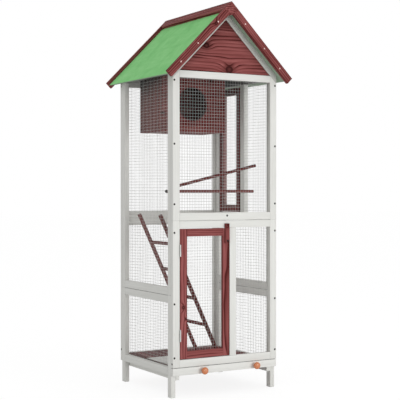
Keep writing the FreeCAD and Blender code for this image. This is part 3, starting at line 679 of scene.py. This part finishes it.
# felt: one sheet over the board, rounded over the eave and back under it
def feltSheet(side):
    front, back = sheetEnds
    top, under = roof["capThick"], roofUnder
    corner, steps, rows = felt["corner"], felt["steps"], felt["rows"]
    tip, turn = roof["long"], roof["long"] + top - under
    outer = [(roofStart + (tip - corner - roofStart) * i / steps, top)
             for i in range(steps + 1)]
    outer += [(tip - corner * 0.25, top + corner * 0.12),
              (tip - corner * 0.7, top + corner * 0.75),
              (turn + corner * 0.8, under - corner * 0.6), (turn - corner, under)]
    outer += [(turn - corner - (turn - corner - roofStart) * i / steps, under)
              for i in range(1, steps + 1)]
    part = bmesh.new()
    luck = random.Random(40 + side)

    def spot(a, b, y):
        x, z = slope(side, a, b)
        return part.verts.new((x * mm, y * mm, z * mm))

    grid = []
    for j in range(rows + 1):
        y = front + (back - front) * j / rows
        line = []
        for a, b in outer:
            wave = math.sin(a * felt["waveDown"] + y * felt["waveAlong"] + side)
            swell = felt["wave"] * wave + luck.uniform(-felt["rough"], felt["rough"])
            push = -swell if b < (top + under) / 2 else swell
            if j in (0, rows) or a < roofStart + 1:
                push = 0
            line.append(spot(a, b + push * felt["lift"], y))
        grid.append(line)
    for near, far in zip(grid, grid[1:]):
        for i in range(len(near) - 1):
            part.faces.new((near[i], near[i + 1], far[i + 1], far[i]))
    ends = [[spot(a, b, y) for a, b in boardCorners] for y in sheetEnds]
    for i in range(3):
        part.faces.new((ends[0][i], ends[1][i], ends[1][i + 1], ends[0][i + 1]))
    last = len(outer) - 1
    cut = [0, steps, last - steps, last]
    for line, rim in ((grid[0], ends[0]), (grid[-1], ends[1])):
        for k in range(3):
            part.faces.new(line[cut[k]:cut[k + 1] + 1] + [rim[k + 1], rim[k]])
    for k, i in ((0, 0), (last, 3)):
        part.faces.new([row[k] for row in grid] + [ends[1][i], ends[0][i]])
    return part


def roofSheets():
    for name, side, seed in (("left", -1, 31), ("right", 1, 32)):
        board = Bench(name + "RoofBoard", rawBoard, seed)
        slopePrism(board, side, boardCorners, *sheetEnds, along=(0, 1, 0),
                   edge=roof["boardEdge"])
        board.make()
        sheet = Bench(name + "RoofFelt", greenFelt, seed + 4)
        sheet.take(feltSheet(side), (side, 0, -1), (0, 1, 0))
        sheet.make(felt["sharp"])


roofTimber()
roofSheets()
print("roof made")


# doors: u runs from the hinge edge of the opening, v outward
doors = {"front": {"edge": 233.0, "low": 155.0, "high": 678.0, "thick": 12.5,
                   "body": "front_door", "way": 1, "stain": doorStain},
         "side": {"edge": 178.5, "low": 737.0, "high": 1288.5, "thick": 20.0,
                  "body": "side_door", "way": -1, "stain": innerShadedStain}}
doorStick = {"wide": 31.0, "hingeGap": 3.5, "edge": 1.0, "hingeTone": -0.2,
             "latchTone": 0.75, "railTone": 0.4}
button = {"long": 80.0, "wide": 19.0, "thick": 10.0, "gap": 0.3, "inset": 14.0,
          "reach": 19.0, "edge": 1.4, "tone": 1.3}


def doorPlace(name, u, v):
    if name == "front":
        return (-stileIn + u, cage["front"] - v)
    return (cage["half"] + v, sideBack - u)


def doorBox(bench, name, u0, u1, v0, v1, z0, z1, **more):
    xa, ya = doorPlace(name, u0, v0)
    xb, yb = doorPlace(name, u1, v1)
    bench.box(xa, xb, ya, yb, z0, z1, **more)


def doorFrames():
    for seed, (name, door) in enumerate(doors.items()):
        wide, u0, u1 = doorStick["wide"], doorStick["hingeGap"], door["edge"]
        z0, z1 = door["low"], door["high"]
        between = (u0 + wide, u1 - wide)
        bench = Bench(name + "DoorFrame", door["stain"], 54 + seed, door["body"])
        for ends, low, high, tone, offset in (
                ((u0, u0 + wide), z0, z1, doorStick["hingeTone"], (0, 0, 0)),
                ((u1 - wide, u1), z0, z1, doorStick["latchTone"], None),
                (between, z0, z0 + wide, doorStick["railTone"], None),
                (between, z1 - wide, z1, doorStick["railTone"], None)):
            doorBox(bench, name, *ends, -door["thick"], 0, low, high,
                    edge=doorStick["edge"], tone=tone, offset=offset)
        bench.make()
        bench = Bench(name + "TurnButton", buttonStain, 61 + seed,
                      door["body"] + "_button")
        middle, half = u1 - button["inset"], button["wide"] / 2
        tip = (z1 if door["way"] > 0 else z0) + door["way"] * button["reach"]
        end = tip - door["way"] * button["long"]
        doorBox(bench, name, middle - half, middle + half, button["gap"],
                button["gap"] + button["thick"], end, tip, edge=button["edge"],
                segments=3, tone=button["tone"], offset=(0, 0, 0))
        bench.make()


doorFrames()
print("doors made")


drawer = {"left": -216.5, "right": 225.5, "back": 222.0, "side": 15.0, "plank": 10.0,
          "gap": 0.5, "count": 8, "runnerWide": 18.0, "runnerHigh": 20.0, "slide": 0.3,
          "frontEdge": 1.4, "frontTone": -0.6, "plankEdge": 1.2}
knob = {"places": (-109.0, 142.0), "height": 103.0, "shift": (0, 0.003, 0.002),
        "profile": [(0, 0), (0, 7.4), (0.8, 7.6), (2.0, 6.9), (5.0, 6.3), (8.0, 7.2),
                    (9.2, 9.8), (10.2, 12.4), (12.0, 14.2), (14.5, 15.0), (17.0, 14.8),
                    (19.5, 13.8), (21.6, 11.6), (23.0, 8.6), (23.8, 4.8), (24.0, 0)],
        "sharp": 60}
loose = {"width": 238.0, "deep": 263.0, "thick": 2.0, "gap": 6.0, "mesh": 1.2,
         "edge": 0.4}


def floorDrawer():
    foot, top, half = cage["foot"], cage["drawerTop"], cage["half"]
    left, right, back, side = (drawer[key] for key in ("left", "right", "back", "side"))
    under = top - drawer["plank"]
    boards("drawerFront", whitePaint, 71,
           [(-half, half, cage["front"], frontIn, foot, top - cage["groove"])],
           "drawer", edge=drawer["frontEdge"], tone=drawer["frontTone"])
    boards("drawerSides", rawBoard, 72,
           [(x, x + side, frontIn, back, foot, under) for x in (left, right - side)],
           "drawer")
    boards("drawerBack", rawBoard, 73,
           [(left + side, right - side, back - side, back, foot, under)], "drawer")
    pitch = (right - left + drawer["gap"]) / drawer["count"]
    starts = [left + i * pitch for i in range(drawer["count"])]
    boards("drawerFloor", innerShadedStain, 74,
           [(x, x + pitch - drawer["gap"], frontIn, back, under, top) for x in starts],
           "drawer", edge=drawer["plankEdge"])
    high = foot - drawer["slide"]
    boards("drawerRunners", whitePaint, 75,
           [(way * (inner - drawer["runnerWide"]), way * inner, frontIn, backIn,
             high - drawer["runnerHigh"], high) for way in (-1, 1)])
    knobs = Bench("drawerKnobs", turnedKnob, 76, "drawer")
    for x in knob["places"]:
        knobs.lathe(knob["profile"], (x, cage["front"], knob["height"]), (0, -1, 0),
                    knob["shift"])
    knobs.make(knob["sharp"])
    x = loose["mesh"] + loose["gap"] - inner
    low = top + cage["gap"]
    boards("floorBoard", whitePaint, 77,
           [(x, x + loose["width"], frontIn, frontIn + loose["deep"], low,
             low + loose["thick"])], edge=loose["edge"])


floorDrawer()
print("drawer made")


nest = {"middle": -3.0, "half": 157.5, "front": 20.3, "back": 222.3, "low": 1084.5,
        "high": 1322.0, "wall": 12.0, "hole": 72.5, "holeHeight": 119.5,
        "holeLeft": 6.0, "holeSides": 96, "edge": 0.9}


# front board of the nest box: a flat outline with a round hole, as one piece
def holedBoard():
    half, low, high, radius = nest["half"], nest["low"], nest["high"], nest["hole"]
    middle, edge = low + nest["holeHeight"], nest["edge"] * mm
    curve = bpy.data.curves.new("nestFront", "CURVE")
    curve.dimensions = "2D"
    curve.fill_mode = "BOTH"
    square = [(-half, low), (half, low), (half, high), (-half, high)]
    hole = [(radius * a - nest["holeLeft"], middle + radius * b)
            for a, b in circle(nest["holeSides"])]
    for outline in (square, hole):
        spline = curve.splines.new("POLY")
        spline.points.add(len(outline) - 1)
        for point, (x, z) in zip(spline.points, outline):
            point.co = (x * mm, z * mm, 0, 1)
        spline.use_cyclic_u = True
    curve.offset = -edge
    curve.bevel_depth = edge
    curve.bevel_resolution = 1
    curve.extrude = nest["wall"] * mm / 2 - edge
    holder = link("nestFront", curve)
    bpy.context.view_layer.update()
    mesh = bpy.data.meshes.new_from_object(holder.evaluated_get(
        bpy.context.evaluated_depsgraph_get()))
    part = bmesh.new()
    part.from_mesh(mesh)
    bpy.data.objects.remove(holder)
    bpy.data.curves.remove(curve)
    bpy.data.meshes.remove(mesh)
    y = (nest["front"] + nest["wall"] / 2) * mm
    for vertex in part.verts:
        x, z, deep = vertex.co
        vertex.co = (x + nest["middle"] * mm, y - deep, z)
    return part


def nestBox():
    low, high, wall = nest["low"], nest["high"], nest["wall"]
    left, right = nest["middle"] - nest["half"], nest["middle"] + nest["half"]
    back, wide = nest["back"], (left + wall, right - wall)
    deep = (nest["front"] + wall, back - wall)
    bench = Bench("nestBoxFront", nestShadedStain, 81)
    bench.take(holedBoard(), (1, 0, 0), (0, 0, 1))
    bench.make()
    for name, seed, boxes in (
            ("Back", 82, [(left, right, back - wall, back, low, high)]),
            ("Sides", 83, [(x, x + wall, *deep, low, high)
                           for x in (left, right - wall)]),
            ("Floor", 84, [(*wide, *deep, low, low + wall)]),
            ("Lid", 84, [(*wide, *deep, high - wall, high)])):
        boards("nestBox" + name, nestShadedStain, seed, boxes)


# a perch is its name, place, rise in degrees and shift along itself
perch = {"radius": 6.25, "long": 418.5, "start": -225.8, "steps": 14, "sides": 32,
         "rough": 0.12,
         "spots": (("lower", -146.5, 828.5, 0.0, 0.0),
                   ("upper", -178.5, 843.0, 13.1, 0.35))}
ladder = {"wide": 14.0, "deep": 13.0, "rung": 11.0, "middle": 15.5, "spacing": 190.0,
          "wall": (-227.3, 728.0), "lean": 25.1, "foot": 121.9, "rungs": 4,
          "first": 144.0, "pitch": 115.5}


# turned sticks, a little uneven, the foot of each cut to the wall it meets
def perches():
    radius, long, steps = perch["radius"], perch["long"], perch["steps"]
    profile = [(0, radius - 0.6), (0.6, radius)]
    profile += [(long * i / steps, radius) for i in range(1, steps)]
    profile += [(long - 1.2, radius), (long - 0.4, radius - 0.5), (long, radius - 1.3)]
    for seed, (name, y, z, rise, shift) in enumerate(perch["spots"]):
        turn = math.radians(rise)
        way, side = Vector((math.cos(turn), 0, math.sin(turn))), Vector((0, 1, 0))
        other = way.cross(side)
        slant = radius * math.sin(turn) * math.cos(turn)
        part = bmesh.new()
        luck = random.Random(seed + 5)
        rings = []
        for reach, size in profile:
            size += luck.uniform(-perch["rough"], 0.0)
            start = Vector((perch["start"], y, z)) + way * (reach + shift)
            cut = way * slant if reach < 1 else way * 0
            rings.append([part.verts.new(
                (start + (side * a + other * b) * size + cut * b) * mm)
                for a, b in circle(perch["sides"])])
        joinRings(part, rings)
        part.faces.new(rings[0])
        part.faces.new(rings[-1])
        bench = Bench(name + "Perch", innerShadedStain, 91 + seed)
        bench.take(part, way, side)
        bench.make()


ladderLean = math.radians(ladder["lean"])
ladderSine, ladderCosine = math.sin(ladderLean), math.cos(ladderLean)
ladderReach = ((ladder["wall"][1] + ladder["deep"] * ladderSine - ladder["foot"])
               / ladderCosine)


# places on the ladder: distance up from the foot, depth behind its front face
def ladderSpot(along, off):
    x, z = ladder["wall"]
    down, deep = ladderReach - along, ladder["deep"] - off
    return (x + down * ladderSine + deep * ladderCosine,
            z - down * ladderCosine + deep * ladderSine)


def ladderPieces():
    deep, half, size = ladder["deep"], ladder["wide"] / 2, ladder["rung"]
    rails = Bench("ladderRails", innerShadedStain, 95)
    corners = ((0, 0), (ladderReach, 0), (ladderReach, deep),
               (deep * math.tan(ladderLean), deep))
    for side in (-1, 1):
        middle = ladder["middle"] + side * ladder["spacing"] / 2
        rails.prism([ladderSpot(*corner) for corner in corners], middle - half,
                    middle + half, along=(-ladderSine, 0, ladderCosine))
    rails.make()
    rungs = Bench("ladderRungs", innerShadedStain, 96)
    off = (deep - size) / 2
    span = ladder["spacing"] / 2 - half
    for i in range(ladder["rungs"]):
        along = (ladder["first"] + i * ladder["pitch"]) / ladderCosine
        low, high = along - size / 2, along + size / 2
        rungs.prism([ladderSpot(low, off), ladderSpot(high, off),
                     ladderSpot(high, off + size), ladderSpot(low, off + size)],
                    ladder["middle"] - span, ladder["middle"] + span, along=(0, 1, 0))
    rungs.make()


nestBox()
perches()
ladderPieces()
print("nest box, perches and ladder made")


# wire mesh at its real pitch: two layers of straight wires, welded where they cross
wire = {"pitch": 12.7, "radius": 0.42, "lap": 7.0, "sides": 6, "near": 0.45, "far": 0.9,
        "stray": 0.07, "frontPhase": (0.1, 1.5), "sharp": 75}


def meshPanel(name, place, opening, rides, seed, phase=None):
    lap, pitch, sides = wire["lap"], wire["pitch"], wire["sides"]
    u0, u1, z0, z1 = opening
    u0, u1, z0, z1 = u0 - lap, u1 + lap, z0 - lap, z1 + lap
    luck = random.Random(seed)
    verts, faces = [], []

    def tube(points, crossA, crossB):
        base = len(verts)
        for point in points:
            for a, b in circle(sides):
                verts.append((point + (crossA * a + crossB * b) * wire["radius"]) * mm)
        for j in range(len(points) - 1):
            for k in range(sides):
                a, b = base + j * sides + k, base + j * sides + (k + 1) % sides
                faces.append((a, b, b + sides, a + sides))
        end = base + (len(points) - 1) * sides
        faces.append(tuple(range(base, base + sides))[::-1])
        faces.append(tuple(range(end, end + sides)))

    def strays():
        return enumerate([luck.gauss(0, wire["stray"]) for _ in range(4)])

    origin = place(0, 0, 0)
    alongU, alongV = place(1, 0, 0) - origin, place(0, 1, 0) - origin
    phase = phase or [luck.uniform(0, pitch) for _ in range(2)]
    u = u0 + phase[0]
    while u < u1:
        tube([place(u + off, wire["near"], z0 + (z1 - z0) * i / 3)
              for i, off in strays()], alongU, alongV)
        u += pitch
    z = z0 + phase[1]
    while z < z1:
        tube([place(u0 + (u1 - u0) * i / 3, wire["far"], z + off)
              for i, off in strays()], Vector((0, 0, 1)), alongV)
        z += pitch
    mesh = bpy.data.meshes.new(name)
    mesh.from_pydata([tuple(v) for v in verts], [], faces)
    settle(name, mesh, meshWire, rides, wire["sharp"])


def wallMeshes():
    stick, seam, rail = cage["stick"], cage["seam"], cage["sideRail"]
    wide = (-stileIn, stileIn)
    deep = (sideFront, sideBack)
    sideLow = (cage["foot"] + cage["bottomRail"],
               cage["sideSeam"] - stick + cage["gap"])
    sideHigh = cage["sideSeam"] + stick

    def onFront(u, v, z):
        return Vector((u, frontIn + v, z))

    def onBack(u, v, z):
        return Vector((u, backIn - v, z))

    def onLeft(u, v, z):
        return Vector((-inner + v, u, z))

    def onRight(u, v, z):
        return Vector((inner - v, u, z))

    panels = (("frontUpper", onFront, (*wide, seam + stick, frontRail)),
              ("frontLower", onFront, (cage["mullion"][1], stileIn, frameFoot + stick,
                                       seam - stick)),
              ("backUpper", onBack, (*wide, seam + stick, backRail)),
              ("backLower", onBack, (*wide, cage["drawerTop"], seam - stick)),
              ("leftUpper", onLeft, (*deep, sideHigh, rail)),
              ("leftLower", onLeft, (*deep, *sideLow)),
              ("rightUpper", onRight, (sideFront, cage["freeY"] - cage["divider"],
                                       cage["crossTop"], rail)),
              ("rightMiddle", onRight, (*deep, sideHigh, cage["crossTop"] - stick)),
              ("rightLower", onRight, (*deep, *sideLow)))
    for seed, (name, place, opening) in enumerate(panels):
        meshPanel(name + "Mesh", place, opening, "cage", 200 + seed,
                  wire["frontPhase"] if not seed else None)


def doorMeshes():
    for seed, (name, door) in enumerate(doors.items()):
        wide = doorStick["wide"]
        opening = (doorStick["hingeGap"] + wide, door["edge"] - wide,
                   door["low"] + wide, door["high"] - wide)

        def place(u, v, z, name=name, thick=door["thick"]):
            return Vector((*doorPlace(name, u, -thick - v), z))
        meshPanel(name + "DoorMesh", place, opening, door["body"], 220 + seed)


wallMeshes()
doorMeshes()
print("wire mesh made")


# screw heads with a cross recess, a little proud of the wood
screwHead = {"radius": 4.2, "sides": 32, "rings": 7, "arm": 0.55, "reach": 1.9,
             "proud": 0.5, "dome": 0.85, "sole": 0.04, "skirt": 1.2, "sharp": 30}
frameScrew = {"heights": (162.0, 377.5, 663.0, 777.0, 1018.0, 1272.5), "inset": 7.0,
              "rail": (5.0, 729.0), "railSpin": 0.4, "sideInset": 7.5,
              "sideHeight": 137.5}
bargeScrew = {"depth": 16.5, "reaches": (108.0, 240.0, 350.0), "proud": 0.1,
              "radius": 3.1}


def addScrew(bench, start, out, spin=None, proud=screwHead["proud"],
             radius=screwHead["radius"]):
    if spin is None:
        spin = bench.luck.uniform(0, 3)
    out = Vector(out)
    side = out.orthogonal().normalized()
    other = out.cross(side)
    sole, skirt = screwHead["sole"], screwHead["skirt"]
    plain, turned = circle(screwHead["sides"]), circle(screwHead["sides"], spin)
    centre = Vector(start) * mm
    part = bmesh.new()

    def spot(a, b, reach, lift):
        away = (side * a + other * b) * reach + out * lift
        return part.verts.new(centre + away * mm)

    rings = [[spot(0, 0, 0, sole)]]
    for j in range(1, screwHead["rings"] + 1):
        reach = radius * j / screwHead["rings"]
        dome = proud * (1 - screwHead["dome"] * (reach / radius) ** 2)
        ring = []
        for (x, z), (a, b) in zip(plain, turned):
            inArm = (min(abs(x), abs(z)) * reach < screwHead["arm"]
                     and reach < screwHead["reach"])
            ring.append(spot(a, b, reach, sole if inArm else dome))
        rings.append(ring)
    rings.append([spot(a, b, radius - skirt, -skirt) for a, b in turned])
    joinRings(part, rings)
    bench.take(part, out, side)


def screws():
    bench = Bench("frameScrews", blackScrew, 101)
    railX, railZ = frameScrew["rail"]
    wide = cage["half"] - frameScrew["inset"]
    for y, out in ((cage["front"], (0, -1, 0)), (cage["back"], (0, 1, 0))):
        for side in (-1, 1):
            for z in frameScrew["heights"]:
                addScrew(bench, (side * wide, y, z), out)
        addScrew(bench, (railX, y, railZ), out, frameScrew["railSpin"])
    inset = frameScrew["sideInset"]
    for side in (-1, 1):
        for y in (cage["front"] + inset, cage["back"] - inset):
            addScrew(bench, (side * cage["half"], y, frameScrew["sideHeight"]),
                     (side, 0, 0))
    bench.make(screwHead["sharp"])
    bench = Bench("bargeScrews", paleScrew, 102)
    for y, out in ((roof["front"], (0, -1, 0)), (roof["back"], (0, 1, 0))):
        for side in (-1, 1):
            for reach in bargeScrew["reaches"]:
                x, z = slope(side, reach, bargeScrew["depth"])
                addScrew(bench, (x, y, z), out, proud=bargeScrew["proud"],
                         radius=bargeScrew["radius"])
    bench.make(screwHead["sharp"])


# small metal parts whose solids are shown as they are
def keptNodes():
    kept = {"hinge_fixed_leaves": zincHinge, "hinge_pins": zincHinge,
            "front_door_hinge_leaves": zincHinge, "side_door_hinge_leaves": zincHinge,
            "hinge_frame_screws": zincHinge, "front_door_screws": blackScrew,
            "side_door_screws": blackScrew, "perch_fixings": dullBolt}
    for name, material in kept.items():
        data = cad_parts[name].data
        for i in range(len(data.materials)):
            data.materials[i] = material


screws()
keptNodes()
print("fasteners made")


# floor, light and background, in metres
studio = {"world": 0.62, "aim": (0, 0, 0.8), "floor": 30, "floorColour": 0.86,
          "floorGlow": 0.75, "floorWhite": 1.15}
lamps = {"key": {"place": (2.2, -5.6, 1.0), "size": 3.2, "power": 106.0},
         "fill": {"place": (-4.5, -3.5, 2.0), "size": 3.5, "power": 16.0},
         "low": {"place": (0.3, -2.3, 0.25), "size": 0.5, "power": 3.4}}


# rays that look at the background, straight or by way of metal or glass
def seenRays(g):
    seen = 0.0
    for kind in ("Is Camera Ray", "Is Glossy Ray", "Is Transmission Ray"):
        ray = g.node("ShaderNodeLightPath", {}, {}, kind)
        seen = g.value("MAXIMUM", ray, seen)
    return seen


def background():
    world = bpy.data.worlds.new("studio")
    bpy.context.scene.world = world
    g = Graph(world)
    plain, white = (g.node("ShaderNodeBackground", {},
                           {"Color": (1.0, 1.0, 1.0), "Strength": strength})
                    for strength in (studio["world"], 1.0))
    shader = g.node("ShaderNodeMixShader", {}, {0: seenRays(g), 1: plain, 2: white})
    g.node("ShaderNodeOutputWorld", {}, {"Surface": shader})


def lighting():
    for name, lamp in lamps.items():
        data = bpy.data.lights.new(name, "AREA")
        data.shape = "DISK"
        data.size = lamp["size"]
        data.energy = lamp["power"]
        place = Vector(lamp["place"])
        aim(link(name, data), place, Vector(studio["aim"]) - place)


def stage():
    g = Graph(bpy.data.materials.new("paleFloor"))
    plain = g.node("ShaderNodeBsdfDiffuse", {}, {"Color": (studio["floorColour"],) * 3})
    glow = g.node("ShaderNodeEmission", {},
                  {"Color": (1.0, 1.0, 1.0), "Strength": studio["floorWhite"]})
    shader = g.node("ShaderNodeMixShader", {},
                    {0: seenRays(g) * studio["floorGlow"], 1: plain, 2: glow})
    g.node("ShaderNodeOutputMaterial", {}, {"Surface": shader})
    far = studio["floor"]
    corners = [(-far, -far, 0), (far, -far, 0), (far, far, 0), (-far, far, 0)]
    mesh = bpy.data.meshes.new("floor")
    mesh.from_pydata(corners, [], [(0, 1, 2, 3)])
    mesh.materials.append(g.owner)
    link("floor", mesh)


background()
lighting()
stage()
bpy.context.scene.view_settings.view_transform = "Standard"
print("studio made")
